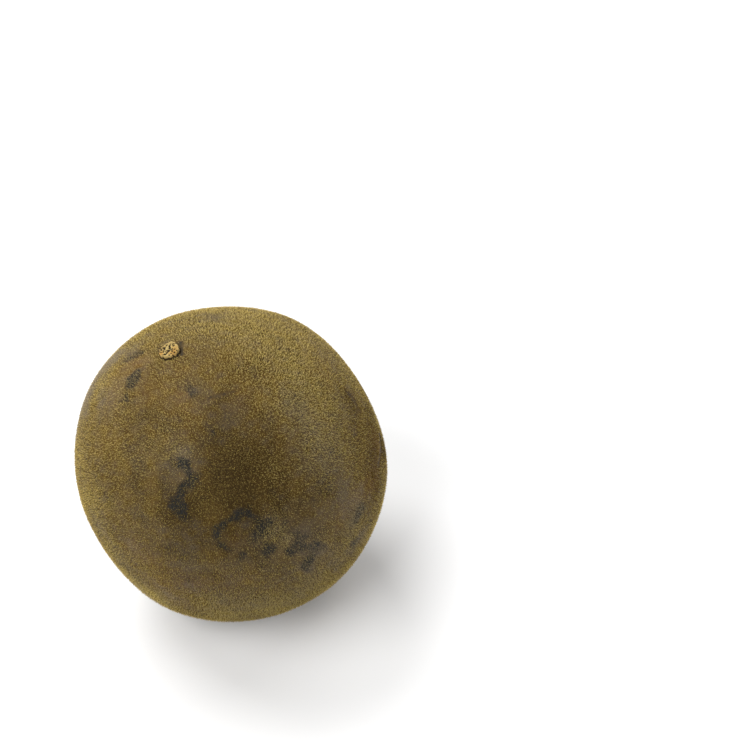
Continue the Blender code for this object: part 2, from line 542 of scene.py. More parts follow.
# Grey bloom on the rind, partly real and partly painted sheen: grey reflections along the left rim
# and on the right, and a cooler cast low down. Negative ones take it away
BLOOM_AND_SHEEN_MARKS = (
    (80, 415, 2.8, 1.3),
    (88, 396, 3.2, 1.5),
    (101, 372, 3.4, 1.6),
    (106, 400, 3.0, 0.8),
    (116, 356, 2.8, 1.3),
    (128, 375, 2.4, 0.5),
    (133, 350, 2.2, 0.9),
    (184, 448, 1.5, 0.6),
    (184, 459, 1.0, 0.9),
    (181, 436, 2.0, 0.3),
    (215, 316, 2.6, 0.6),
    (285, 392, 2.4, 0.2),
    (298, 408, 2.6, 0.3),
    (310, 428, 3.0, 0.3),
    (328, 446, 3.0, 0.4),
    (337, 468, 2.6, 0.6),
    (343, 500, 2.6, 0.4),
    (350, 530, 2.4, 0.6),
    (365, 535, 3.0, 0.9),
    (355, 510, 4.0, 0.9),
    (76, 432, 2.5, 1.0),
    (150, 600, 4.0, 0.7),
    (225, 425, 3.0, 0.4),
    (305, 420, 4.0, 0.3),
    (315, 460, 3.0, 0.4),
    (185, 475, 2.0, 0.4),
    (275, 530, 2.0, 0.4),
    (335, 562, 3.0, 0.5),
    (300, 545, 4.0, 0.6),
    (325, 550, 2.5, 0.5),
    (310, 566, 4.0, 0.5),
    (190, 396, 3.0, 0.4),
    (228, 412, 1.5, 0.6),
    (205, 440, 1.6, 0.4),
    (165, 445, 3.0, 0.3),
    (172, 470, 2.5, 0.4),
    (197, 465, 2.0, 0.6),
    (250, 545, 3.5, 0.45),
    (150, 525, 3.0, 0.3),
    (120, 560, 3.0, 0.6),
    (140, 580, 3.0, 0.5),
    (163, 592, 2.0, 0.8),
    (188, 588, 1.6, 0.9),
    (195, 548, 1.6, 0.6),
    (220, 570, 2.0, 0.3),
    (220, 608, 4.0, 0.4),
    (260, 605, 4.0, 0.5),
    (300, 595, 4.0, 0.6),
    (345, 560, 3.0, 0.5),
    (345, 480, 2.5, 0.5),
    (320, 520, 4.0, 0.4),
    (280, 525, 4.0, 0.3),
    (85, 412, 2.0, 0.5),
    (180, 560, 4.0, 0.4),
    (235, 590, 6.0, 0.3),
    (135, 545, 4.0, 0.3),
    (240, 485, 8.0, -0.6),
    (175, 500, 4.0, -0.3),
    (373, 445, 5.0, -1.0),
    (248, 520, 1.5, 0.8),
    (312, 562, 3.0, 0.4),
    (130, 425, 4.0, -0.2),
    (235, 375, 4.0, -0.2),
    (361, 514, 1.5, 0.9),
    (357, 543, 1.8, 0.9),
    (98, 525, 3.0, 0.5),
    (175, 600, 3.0, 0.5),
    (172, 485, 2.5, 0.4),
    (345, 415, 3.0, 0.4),
    (325, 352, 4.0, 0.4),
)

# Scratches and streaks: pixel x and y of both ends, and how wide in mm. Dark ones are bare of
# hair:
# most are rubbed bare, and the two near the top of the right edge are a groove's painted shade. In
# the pale ones the hair is thick and bleached.
BARE_LINES = (
    (180.2, 342.0, 181.6, 354.0, 0.48),
    (208.0, 398.0, 224.0, 393.4, 0.40),
    (224.0, 393.4, 238.5, 390.2, 0.32),
    # A groove's dark line: painted shade in the crease
    (346.5, 390.0, 356.0, 402.0, 0.46),
    (356.0, 402.0, 361.5, 411.5, 0.38),
    (380.0, 433.0, 381.0, 450.0, 0.50),
    (381.0, 450.0, 378.5, 466.0, 0.40),
)
PALE_LINES = (
    (270.5, 395.0, 274.0, 398.4, 0.22),
    (274.0, 398.4, 285.0, 408.6, 0.26),
    (262.0, 540.0, 270.0, 532.0, 0.28),
    (270.0, 532.0, 277.0, 527.0, 0.24),
    (277.0, 527.0, 288.0, 528.0, 0.20),
    (289.0, 542.0, 292.0, 534.0, 0.24),
    (271.0, 541.0, 275.0, 538.0, 0.20),
    (175.5, 450.5, 178.0, 454.5, 0.22),
    (179.5, 449.5, 181.0, 454.0, 0.22),
    (184.0, 450.5, 185.5, 455.0, 0.22),
    (183.8, 459.5, 185.0, 462.0, 0.28),
)

# Chains of stains on the sides that don't show: how many are drawn over the whole fruit, from
# what cosine of the angle to the camera they are kept, one to four spots each, the radius in
# metres, the strength, how much spots differ in size, and the step in shares of the fruit's radius
CHAINS = 70
CHAIN_HIDDEN = 0.15
CHAIN_SPOTS = (1, 5)
CHAIN_RADIUS = (0.0009, 0.0017)
CHAIN_STRENGTH = (0.35, 0.95)
CHAIN_VARIES = (0.7, 1.3)
CHAIN_STEP = 0.055


def marks_behind(seed):
    """Seeded round stains in short chains on the sides that the picture doesn't show."""
    draw = np.random.default_rng(seed)
    heads = draw.normal(size=(CHAINS, 3))
    heads /= np.linalg.norm(heads, axis=1, keepdims=True)
    hidden = heads @ TO_CAMERA < CHAIN_HIDDEN
    marks = []
    for head in heads[hidden]:
        links = draw.integers(*CHAIN_SPOTS)
        size, strength = draw.uniform(*CHAIN_RADIUS), draw.uniform(*CHAIN_STRENGTH)
        at = head.copy()
        for _ in range(links):
            varied = size * draw.uniform(*CHAIN_VARIES)
            marks.append((at * ACROSS / 2 + FRUIT_AT, varied, strength))
            at = at + draw.normal(size=3) * CHAIN_STEP
            at /= np.linalg.norm(at)
    return marks


def spotted(points, marks):
    """Sum of bell-shaped spots: each falls off with the distance from its middle."""
    total = np.zeros(len(points))
    for at, size, strength in marks:
        apart = ((points - at) ** 2).sum(-1)
        total += strength * np.exp(-apart / size**2)
    return total


def on_fruit(marks):
    """Marks given by pixel, as places on the fruit with sizes in metres."""
    return [(seen_at(x, y), size / 1000, strength) for x, y, size, strength in marks]


stain_spots = on_fruit(STAIN_MARKS) + marks_behind(seed=11)
russet_spots = on_fruit(RUSSET_MARKS)
tuft_and_light_spots = on_fruit(TUFT_AND_LIGHT_MARKS)
dark_tone_and_shade_spots = on_fruit(DARK_TONE_AND_SHADE_MARKS)
bloom_and_sheen_spots = on_fruit(BLOOM_AND_SHEEN_MARKS)


def scratched(points, lines):
    """1 on the lines and 0 off them: a bell curve of the distance from a straight run."""
    total = np.zeros(len(points))
    for x0, y0, x1, y1, width in lines:
        start, run = seen_at(x0, y0), seen_at(x1, y1) - seen_at(x0, y0)
        along = np.clip((points - start) @ run / (run @ run), 0.0, 1.0)
        apart = ((points - start - along[:, None] * run) ** 2).sum(-1)
        total = np.maximum(total, np.exp(-apart / (width / 1000) ** 2))
    return total


# How far small waves push the edge of a spot about, and how long they are, in metres
TORN_BY, TORN_LENGTH = 0.00038, 0.0026
TORN_FINELY_BY, TORN_FINELY_LENGTH = 0.00016, 0.0010


def ragged(points):
    """Points pushed about by small waves, so that a spot measured from them has a torn edge."""
    push = np.stack([waves(points, TORN_LENGTH, 40 + k) for k in range(3)], -1)
    fine = np.stack([waves(points, TORN_FINELY_LENGTH, 50 + k) for k in range(3)], -1)
    return points + TORN_BY * push + TORN_FINELY_BY * fine


# Seeded unevenness on top of the marks: share, wave length in metres and seed
STAIN_CLOUD = (0.10, 0.0035, 61)
RUSSET_CLOUDS = ((0.5, 0.014, 62), (0.3, 0.006, 63))
TUFT_CLOUD = (0.3, 0.011, 64)
DARK_TONE_CLOUD = (0.35, 0.018, 65)

# How much the hair goes greyer and yellower by turns, in the same way
DULL_CLOUDS = (
    (0.18, 0.0021, 67),
    (0.12, 0.0042, 68),
    (0.06, 0.0085, 69),
    (0.04, 0.017, 70),
)

# Where a sum of marks begins to show and where it shows in full, and the most that counts
STAIN_SHOWS = (0.10, 0.95)
RUSSET_SHOWS = (0.05, 1.1)
TUFT_AND_LIGHT_MOST, DARK_TONE_AND_SHADE_MOST, BLOOM_AND_SHEEN_MOST = 2.0, 1.5, 1.6

# The side away from the camera begins and is full at these shares of the fruit's width past
# its middle. It has no marks by pixel, so it gets even ones. A little bloom is everywhere.
BEHIND_FROM = (-0.1, 0.2)
RUSSET_LESS_BEHIND, DARK_TONE_BEHIND, BLOOM_BEHIND = 0.25, 0.15, 0.2
BLOOM_LEAST = 0.16


def rind_marks(points):
    """How much stain, russet, tuft and painted light, dark tone and painted shade, bloom and
    painted sheen, bareness and bleaching each point has, from 0 up.
    """
    torn = ragged(points)
    behind = smooth_step(-((points - FRUIT_AT) @ TO_CAMERA) / ACROSS, *BEHIND_FROM)
    stained = spotted(torn, stain_spots) + clouds(points, STAIN_CLOUD)
    reddish = clouds(points, *RUSSET_CLOUDS) - RUSSET_LESS_BEHIND
    russet = spotted(torn, russet_spots) + behind * reddish
    tufted_and_lit = spotted(torn, tuft_and_light_spots) + clouds(points, TUFT_CLOUD)
    dark_tone_and_shade = spotted(torn, dark_tone_and_shade_spots) + behind * (DARK_TONE_BEHIND + clouds(points, DARK_TONE_CLOUD))
    dull = clouds(points, *DULL_CLOUDS)
    bloom_and_sheen = spotted(torn, bloom_and_sheen_spots) + behind * BLOOM_BEHIND + dull + BLOOM_LEAST
    bare = scratched(points, BARE_LINES)
    return {
        "stained": np.maximum(smooth_step(stained, *STAIN_SHOWS), bare),
        "russet": smooth_step(russet, *RUSSET_SHOWS),
        "tufted_and_lit": np.clip(tufted_and_lit, 0.0, TUFT_AND_LIGHT_MOST),
        "dark_tone_and_shade": np.clip(dark_tone_and_shade, 0.0, DARK_TONE_AND_SHADE_MOST),
        "bloom_and_sheen": np.clip(bloom_and_sheen, 0.0, BLOOM_AND_SHEEN_MOST),
        "dull": dull,
        "bare": bare,
        "bleached": scratched(points, PALE_LINES),
    }


# The crevice gets painted shade, laid in with the stains, and the button is russet. Both fade out
# here, in shares of the way to the scar's edge and of the button's radius.
CREVICE_SHADE = 0.7
CREVICE_SHADED_TO = (1.06, 1.24)
BUTTON_RUSSET_TO = (0.9, 1.3)

# Wrinkles from drying: height and wave length in metres and seed. They begin over the lowest
# millimetre, so that the flat spot stays level.
WRINKLES = ((0.000020, 0.0032, 71), (0.000012, 0.0016, 72))
WRINKLED_FROM = (0.0, 0.001)

rind_points = set_down(rind_skin)
marks = rind_marks(rind_points)
scar_steps = ACROSS / 2 * rind_polar / scar_edge(rind_turn)
# Painted shade in the crevice round the scar, laid in with the stains
crevice = 1 - smooth_step(scar_steps, *CREVICE_SHADED_TO)
marks["stained"] = np.maximum(marks["stained"], CREVICE_SHADE * crevice)
button_steps = ACROSS / 2 * (math.pi - rind_polar) / BUTTON_RADIUS
button = 1 - smooth_step(button_steps, *BUTTON_RUSSET_TO)
marks["russet"] = np.maximum(marks["russet"], button)
outwards = rind_points - FRUIT_AT
outwards /= np.linalg.norm(outwards, axis=-1, keepdims=True)
dried = clouds(rind_points, *WRINKLES) * smooth_step(rind_points[:, 2], *WRINKLED_FROM)
rind_points = rind_points + dried[:, None] * outwards

# Dried gourd rind, dull and slightly waxy: mottled olive brown under the hairs, warmer and
# redder where it is bare, with blue-grey to black stains where mould and smoke have marked it.
rind_material = bpy.data.materials.new("dried_gourd_rind")
rind_material.use_nodes = True
tree = rind_material.node_tree
shader = tree.nodes["Principled BSDF"]
shader.inputs["IOR"].default_value = 1.45
shader.inputs["Specular IOR Level"].default_value = 0.15

OLIVE = linear("#4E3A15")
OLIVE_DARK = linear("#33250B")
OLIVE_PALE = linear("#604A1F")
RUSSET = linear("#6A4B22")
BLOOM_AND_SHEEN = linear("#706A63")
STAIN = linear("#222423")
FLECK = linear("#927B48")

# Sizes of the mottling's patches and blotches, the skin's grain, the torn edge of the stains,
# and the stubs of hair on the skin, which are drawn twice as coarse as real ones to show
PATCH_MM, BLOTCH_MM, GRAIN_MM, SPECKLE_MM, STUBBLE_MM = 13.0, 4.0, 1.1, 0.5, 0.24
STAIN_TORN_BY_SPECKLE = 1.2

place = add_node(tree, "ShaderNodeTexCoord").outputs["Object"]
patch = add_node(
    tree, "ShaderNodeTexNoise", Vector=place, Scale=1000 / PATCH_MM, Detail=3.0, Roughness=0.6
)
blotch = add_node(
    tree, "ShaderNodeTexNoise", Vector=place, Scale=1000 / BLOTCH_MM, Detail=5.0, Roughness=0.6
)
grain = add_node(
    tree, "ShaderNodeTexNoise", Vector=place, Scale=1000 / GRAIN_MM, Detail=4.0, Roughness=0.65
)
speckle = add_node(
    tree, "ShaderNodeTexNoise", Vector=place, Scale=1000 / SPECKLE_MM, Detail=2.0, Roughness=0.6
)
stubble = add_node(
    tree,
    "ShaderNodeTexNoise",
    Vector=place,
    Scale=1000 / STUBBLE_MM,
    Detail=2.0,
    Roughness=0.6,
    Distortion=1.2,
)
patch_share = add_node(
    tree, "ShaderNodeMapRange", Value=patch.outputs["Fac"], From_Min=0.38, From_Max=0.64
)
blotch_share = add_node(
    tree, "ShaderNodeMapRange", Value=blotch.outputs["Fac"], From_Min=0.40, From_Max=0.68
)
dark_tone_and_shade_read = add_node(tree, "ShaderNodeAttribute", {"attribute_name": "dark_tone_and_shade"})
russet_read = add_node(tree, "ShaderNodeAttribute", {"attribute_name": "russet"})
bloom_and_sheen_read = add_node(tree, "ShaderNodeAttribute", {"attribute_name": "bloom_and_sheen"})
bloom_and_sheen_share = add_node(
    tree,
    "ShaderNodeMapRange",
    Value=bloom_and_sheen_read.outputs["Fac"],
    From_Max=BLOOM_AND_SHEEN_MOST,
    To_Max=0.56,
)
fleck_share = add_node(
    tree,
    "ShaderNodeMapRange",
    Value=stubble.outputs["Fac"],
    From_Min=0.54,
    From_Max=0.72,
    To_Max=0.6,
)
stain_read = add_node(tree, "ShaderNodeAttribute", {"attribute_name": "stained"})
stain_torn = add_node(
    tree,
    "ShaderNodeMath",
    {"operation": "MULTIPLY_ADD"},
    _0=speckle.outputs["Fac"],
    _1=STAIN_TORN_BY_SPECKLE,
    _2=stain_read.outputs["Fac"],
)
stain_share = add_node(
    tree,
    "ShaderNodeMapRange",
    Value=stain_torn.outputs["Value"],
    From_Min=0.92,
    From_Max=1.6,
    To_Max=0.95,
)

# Dark olive, with each colour laid over the ones before it by its own share. The second dark olive
# is painted shade on the dark marks, and the bloom grey is partly painted sheen.
colour = OLIVE_DARK
for share, laid_over in (
    (patch_share.outputs["Result"], OLIVE),
    (blotch_share.outputs["Result"], OLIVE_PALE),
    (dark_tone_and_shade_read.outputs["Fac"], OLIVE_DARK),
    (russet_read.outputs["Fac"], RUSSET),
    (bloom_and_sheen_share.outputs["Result"], BLOOM_AND_SHEEN),
    (fleck_share.outputs["Result"], FLECK),
    (stain_share.outputs["Result"], STAIN),
):
    mixed = add_node(
        tree, "ShaderNodeMix", {"data_type": "RGBA"}, _0=share, _6=colour, _7=laid_over
    )
    colour = mixed.outputs[2]
tree.links.new(colour, shader.inputs["Base Color"])
rough = add_node(
    tree,
    "ShaderNodeMapRange",
    Value=blotch.outputs["Fac"],
    From_Min=0.3,
    From_Max=0.7,
    To_Min=0.58,
    To_Max=0.78,
)
tree.links.new(rough.outputs["Result"], shader.inputs["Roughness"])
relief = add_node(
    tree,
    "ShaderNodeBump",
    Strength=0.6,
    Distance=0.00012,
    Height=stubble.outputs["Fac"],
)
relief = add_node(
    tree,
    "ShaderNodeBump",
    Strength=0.5,
    Distance=0.00025,
    Height=grain.outputs["Fac"],
    Normal=relief.outputs["Normal"],
)
tree.links.new(relief.outputs["Normal"], shader.inputs["Normal"])

rind_rings = len(rind_polar) // RIND_ROUND
rind = new_piece(
    "rind", rind_points, *ball_faces(rind_rings, RIND_ROUND), rind_material, "rind"
)
for name in ("stained", "russet", "dark_tone_and_shade", "bloom_and_sheen"):
    paint(rind, name, marks[name])
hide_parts("monk_fruit")


# The stalk scar
# Where the stalk broke off it left a stub of corky tissue, torn level and proud of the skin,
# with the open ends of the sap vessels as dark pits. It grew out of the rind.

# Rings over its top, down its wall and back under it, in shares of the way to the scar's edge,
# and how far the wall starts down and falls, and the underside is sunk in the skin, in metres
SCAR_SUNK = 0.0006
SCAR_ROUND = 180
CORK_TOP = np.linspace(0.03, 0.96, 48)
CORK_WALL = np.linspace(0.975, 1.05, 7)
CORK_UNDER = CORK_WALL[::-1] * 0.9
WALL_DOWN, WALL_FALL = 0.00012, 0.0003

# The stub gets lower near its edge, where its top rounds off, and there the tearing fades
# too. A low lip runs round just inside.
STUB_EDGE = (0.93, 1.05)
STUB_LEAST, STUB_MORE = 0.3, 0.5
TORN_LEAST, TORN_MORE = 0.25, 0.75
LIP_HEIGHT = 0.00010
LIP_AT, LIP_HALF_WIDTH = 0.88, 0.07

# Torn cork: ridges where a field of waves is near nought, finer crumbs, and flutes round it
TORN_HEIGHT = 0.00006
RIDGE_SHARPNESS, RIDGE_LENGTH = 2.2, 0.0008
CRUMBS = (0.5, 0.0004, 82)
FLUTES = 23
FLUTED_FROM = (0.45, 0.75)
FLUTE_SHARE, FLUTE_WANDER = 0.5, 2

# Open ends of sap vessels: pixel x and y, then half width and half height in millimetres as
# they lie on the scar. All are drawn wider by the same share, so that they show.
PIT_DEPTH = 0.00036
PIT_SPREAD = 1.2
PIT_MARKS = (
    (170.7, 346.4, 0.11, 0.34),
    (167.5, 346.2, 0.10, 0.24),
    (165.5, 349.5, 0.12, 0.24),
    (170.6, 349.2, 0.08, 0.18),
    (170.3, 351.6, 0.10, 0.28),
    (168.4, 353.4, 0.10, 0.22),
    (164.0, 352.8, 0.11, 0.24),
    (167.0, 355.2, 0.12, 0.12),
    (161.7, 350.4, 0.12, 0.16),
    (162.0, 353.6, 0.09, 0.12),
    (173.6, 345.0, 0.10, 0.16),
    (173.4, 349.6, 0.08, 0.14),
    (165.4, 355.6, 0.08, 0.12),
)

# Orange places in the same way, and a seeded unevenness of the warmer tone
ORANGE_MARKS = (
    (175.6, 351.0, 0.55, 0.75),
    (161.4, 355.0, 0.45, 0.50),
    (172.6, 355.2, 0.45, 0.30),
)
WARM_CLOUD = (0.25, 0.0009, 83)

# How much painted shade the cork takes: a little everywhere, and more or less where it is a pit, a
# ridge, a flute or the lip. Its wall is all in painted shade from here on.
DARK_LEAST, DARK_PIT, DARK_RIDGE, DARK_FLUTE, DARK_LIP = 0.16, 1.3, -0.36, -0.14, -0.4
WALL_DARK_FROM = (0.97, 1.04)


def scar_skin(steps, turn, height):
    """Points over the pole of the body, at a share of the scar's edge and a height."""
    polar = steps * scar_edge(turn) / (ACROSS / 2)
    return fruit_points(polar, turn, swelling_height(polar, turn) + height)[0]


scar_turn = np.linspace(0.0, 2 * math.pi, SCAR_ROUND, endpoint=False)
cork_steps = np.concatenate((CORK_TOP, CORK_WALL, CORK_UNDER))[:, None]
cork_steps = cork_steps + np.zeros(SCAR_ROUND)
cork_turn = np.broadcast_to(scar_turn, cork_steps.shape)
flat_scar = set_down(scar_skin(cork_steps, cork_turn, np.full(cork_steps.shape, SCAR_PROUD)))
SCAR_UP = PICTURE_UP - (PICTURE_UP @ STALK) * STALK
SCAR_UP /= np.linalg.norm(SCAR_UP)
SCAR_RIGHT = np.cross(SCAR_UP, STALK)


def on_scar(points, marks):
    """Sum of oval spots on the scar, each a bell curve with its own half width and height."""
    total = np.zeros(points.shape[:-1])
    for x, y, half_wide, half_high in marks:
        apart = points - seen_at(x, y)
        wide = apart @ SCAR_RIGHT / (PIT_SPREAD * half_wide) * 1000
        high = apart @ SCAR_UP / (PIT_SPREAD * half_high) * 1000
        total += np.exp(-(wide**2 + high**2))
    return np.clip(total, 0.0, 1.0)


pits = on_scar(flat_scar, PIT_MARKS)
ridges = RIDGE_SHARPNESS * np.abs(waves(flat_scar, RIDGE_LENGTH, 81))
ridged = 1 - ridges + clouds(flat_scar, CRUMBS)
flutes = np.cos(FLUTES * cork_turn + FLUTE_WANDER * ridged)
fluted = smooth_step(cork_steps, *FLUTED_FROM) * flutes
lip = np.exp(-(((cork_steps - LIP_AT) / LIP_HALF_WIDTH) ** 2))
rounded = 1 - smooth_step(cork_steps, *STUB_EDGE)
torn = TORN_HEIGHT * (ridged + FLUTE_SHARE * fluted) - PIT_DEPTH * pits
cork_height = SCAR_PROUD * (STUB_LEAST + STUB_MORE * rounded) + LIP_HEIGHT * lip
cork_height += torn * (TORN_LEAST + TORN_MORE * rounded)
rings_down = len(CORK_TOP) + len(CORK_WALL)
wall_fall = np.linspace(0.0, WALL_FALL, len(CORK_WALL))[:, None]
cork_height[len(CORK_TOP) : rings_down] -= wall_fall + WALL_DOWN
cork_height[rings_down:] = -SCAR_SUNK
scar_points = set_down(scar_skin(cork_steps, cork_turn, cork_height))
centre_top = scar_points[0].mean(0)
centre_under = scar_points[-1].mean(0)
scar_points = np.concatenate((scar_points.reshape(-1, 3), (centre_top, centre_under)))

# Cork of a broken fruit stalk: light tan, dry and rough, with painted shade down in the pits and
# crevices.
cork = bpy.data.materials.new("torn_stalk_cork")
cork.use_nodes = True
tree = cork.node_tree
shader = tree.nodes["Principled BSDF"]
shader.inputs["IOR"].default_value = 1.45
shader.inputs["Specular IOR Level"].default_value = 0.3
shader.inputs["Roughness"].default_value = 0.85
CORK_TAN = linear("#B39C62")
CORK_ORANGE = linear("#AE8744")
CORK_SHADE = linear("#2E2413")
FIBRE_MM = 0.5
HOLLOW_SHADE_TORN_BY_FIBRE = 0.8
place = add_node(tree, "ShaderNodeTexCoord").outputs["Object"]
fibre = add_node(
    tree, "ShaderNodeTexNoise", Vector=place, Scale=1000 / FIBRE_MM, Detail=4.0, Roughness=0.7
)
warm_read = add_node(tree, "ShaderNodeAttribute", {"attribute_name": "warm"})
tan = add_node(
    tree,
    "ShaderNodeMix",
    {"data_type": "RGBA"},
    _0=warm_read.outputs["Fac"],
    _6=CORK_TAN,
    _7=CORK_ORANGE,
)
hollow_shade_read = add_node(tree, "ShaderNodeAttribute", {"attribute_name": "hollow_shade"})
hollow_shade_torn = add_node(
    tree,
    "ShaderNodeMath",
    {"operation": "MULTIPLY_ADD"},
    _0=fibre.outputs["Fac"],
    _1=HOLLOW_SHADE_TORN_BY_FIBRE,
    _2=hollow_shade_read.outputs["Fac"],
)
hollow_shade_share = add_node(
    tree,
    "ShaderNodeMapRange",
    Value=hollow_shade_torn.outputs["Value"],
    From_Min=0.55,
    From_Max=1.15,
)
cork_colour = add_node(
    tree,
    "ShaderNodeMix",
    {"data_type": "RGBA"},
    _0=hollow_shade_share.outputs["Result"],
    _6=tan.outputs[2],
    _7=CORK_SHADE,
)
tree.links.new(cork_colour.outputs[2], shader.inputs["Base Color"])
relief = add_node(
    tree,
    "ShaderNodeBump",
    Strength=0.7,
    Distance=0.0001,
    Height=fibre.outputs["Fac"],
)
tree.links.new(relief.outputs["Normal"], shader.inputs["Normal"])

stalk_scar = new_piece(
    "stalk_scar", scar_points, *ball_faces(len(cork_steps), SCAR_ROUND), cork, "stalk_scar"
)
# Painted shade in the cork's hollows: the pits, flutes and wall darker, the ridges and the lip
# lighter, the underside all dark
shade_in_hollows = DARK_PIT * pits + DARK_RIDGE * ridged + DARK_FLUTE * fluted + DARK_LEAST
shade_in_hollows = shade_in_hollows + smooth_step(cork_steps, *WALL_DARK_FROM) + DARK_LIP * lip
shade_in_hollows = np.clip(shade_in_hollows, 0.0, 1.0)
shade_in_hollows[rings_down:] = 1.0
paint(stalk_scar, "hollow_shade", np.concatenate((shade_in_hollows.ravel(), (0.0, 1.0))))
warm = on_scar(flat_scar, ORANGE_MARKS) + clouds(flat_scar, WARM_CLOUD)
warm = np.clip(warm, 0.0, 1.0)
paint(stalk_scar, "warm", np.concatenate((warm.ravel(), (0.0, 0.0))))


# The hairs
# Short stiff hairs, straw to golden olive, that stand up from the rind every way like velvet.
# Each is a slim three-sided spike rooted in the skin. Real ones are about half as thick: drawn
# that fine they would be lost between the picture's points.
HAIR_ZONES = ("stalk_end", "shoulder", "waist", "belly", "flower_end")
HAIRS_A_PIECE = 42500
HAIR_PLACES = 330000
HAIR_JITTER = 0.3
GOLDEN_ANGLE = math.pi * (3 - math.sqrt(5))

# Least and greatest length and radius in metres, and least, likeliest and greatest rise. A
# hair of a tuft is longer and thicker. Its root is sunk a little, and it keeps off the floor.
HAIR_LENGTH = (0.00026, 0.00050)
HAIR_RADIUS = (0.000046, 0.000080)
HAIR_RISE_DEG = (15, 50, 85)
TUFT_LONGER, TUFT_THICKER = 0.2, 0.08
HAIR_ROOT = 0.00005
HAIR_OFF_FLOOR = 0.00003

# Where hair begins, in shares of the way to the scar's edge and of the button's radius, and in
# metres over the floor
HAIR_FROM_SCAR = 1.10
HAIR_FROM_BUTTON = 1.1
HAIR_FROM_FLOOR = 0.0002

# Share of the places that have a hair: on plain skin, more at both ends, and more or less by
# the kind of mark
SHARE_PLAIN, SHARE_AT_ENDS = 0.68, 0.15
SHARE_MORE = {
    "tufted_and_lit": 0.2,
    "stained": -0.15,
    "russet": -0.10,
    "dark_tone_and_shade": -0.05,
    "bloom_and_sheen": -0.05,
    "bare": -1.2,
    "bleached": 0.3,
}
SHARE_CLOUD = (0.03, 0.0022, 91)

# A hair's tone is 0 for olive and 1 for straw. Few hairs have a middle tone, and marks, painted
# light and shade among them, make all hairs brighter or darker, but the few that already stand out
# much less.
DEAL_CELL = 0.0006
TONE_BEND = 1.1
BRIGHTER = {
    "tufted_and_lit": 0.38,
    "bleached": 0.9,
    "dark_tone_and_shade": -0.60,
    "stained": -0.15,
    "russet": -0.04,
    "dull": -0.25,
}
BRIGHT_CLOUD = (0.04, 0.0010, 92)
STANDING_OUT_KEEPS = 0.7

# How much of the dark tone and painted shade, and of the stains, a hair takes on: an olive one
# all, and a straw one half
DARKENED, STRAW_LESS_DARKENED = 1.1, 0.6


def dealt_out(points, cell, seed):
    """A number from 0 to 1 for each point, shared out evenly among the points of a small cell.

    The points of each cubic cell are put in a seeded order, and the n-th of m gets a number
    between (n - 1) / m and n / m, so that close neighbours differ.
    """
    draw = np.random.default_rng(seed)
    corner = np.floor((points - points.min(0)) / cell).astype(np.int64)
    across = corner.max(0) + 1
    number = (corner[:, 0] * across[1] + corner[:, 1]) * across[2] + corner[:, 2]
    _, which, many = np.unique(number, return_inverse=True, return_counts=True)
    order = np.lexsort((draw.uniform(size=len(points)), which))
    before = np.cumsum(many) - many
    turn_in_cell = np.empty(len(points))
    turn_in_cell[order] = np.arange(len(points)) - before[which[order]]
    return (turn_in_cell + draw.uniform(size=len(points))) / many[which]


def hair_roots(count, seed):
    """Evenly spread places on the skin: polar angle, turn and marks, fewer where hair is thin.

    Places go down the ball in equal steps of height, each a golden angle further round, and are
    pushed a little at random. Each is kept with the share of hair there. A tone is the square of
    a sine of the evenly dealt numbers, moved by the marks.
    """
    draw = np.random.default_rng(seed)
    steps = np.arange(HAIR_PLACES)
    push = HAIR_JITTER * math.sqrt(4 * math.pi / HAIR_PLACES) * draw.normal(size=(2, HAIR_PLACES))
    polar = np.arccos(1 - (2 * steps + 1) / HAIR_PLACES) + push[0]
    turn = GOLDEN_ANGLE * steps + push[1] / np.sin(polar)
    at = set_down(fruit_points(polar, turn, skin_height(polar, turn))[0])
    here = rind_marks(at)
    share = SHARE_PLAIN + SHARE_AT_ENDS * np.cos(polar) ** 4 + clouds(at, SHARE_CLOUD)
    share += sum(more * here[name] for name, more in SHARE_MORE.items())
    radius = ACROSS / 2
    free = radius * polar / scar_edge(turn) > HAIR_FROM_SCAR
    free &= radius * (math.pi - polar) > HAIR_FROM_BUTTON * BUTTON_RADIUS
    free &= at[:, 2] > HAIR_FROM_FLOOR
    kept = np.flatnonzero((dealt_out(at, DEAL_CELL, seed + 1) < share) & free)
    kept = kept[np.linspace(0, len(kept) - 1, count).astype(int)]
    here = {name: values[kept] for name, values in here.items()}
    bright = clouds(at[kept], BRIGHT_CLOUD)
    bright += sum(more * here[name] for name, more in BRIGHTER.items())
    dealt = dealt_out(at[kept], DEAL_CELL, seed + 2)
    tone = np.sin(0.5 * math.pi * dealt**TONE_BEND) ** 2
    standing_out = np.where(bright > 0, 1 - tone, tone) ** 3
    toned = tone + bright * (1 - STANDING_OUT_KEEPS * standing_out)
    here["tone"] = np.clip(toned, 0.0, 1.0)
    darkened = DARKENED - STRAW_LESS_DARKENED * tone**3
    for name in ("dark_tone_and_shade", "stained"):
        here[name] = here[name] * darkened * (1 - here["bleached"])
    return polar[kept], turn[kept], here


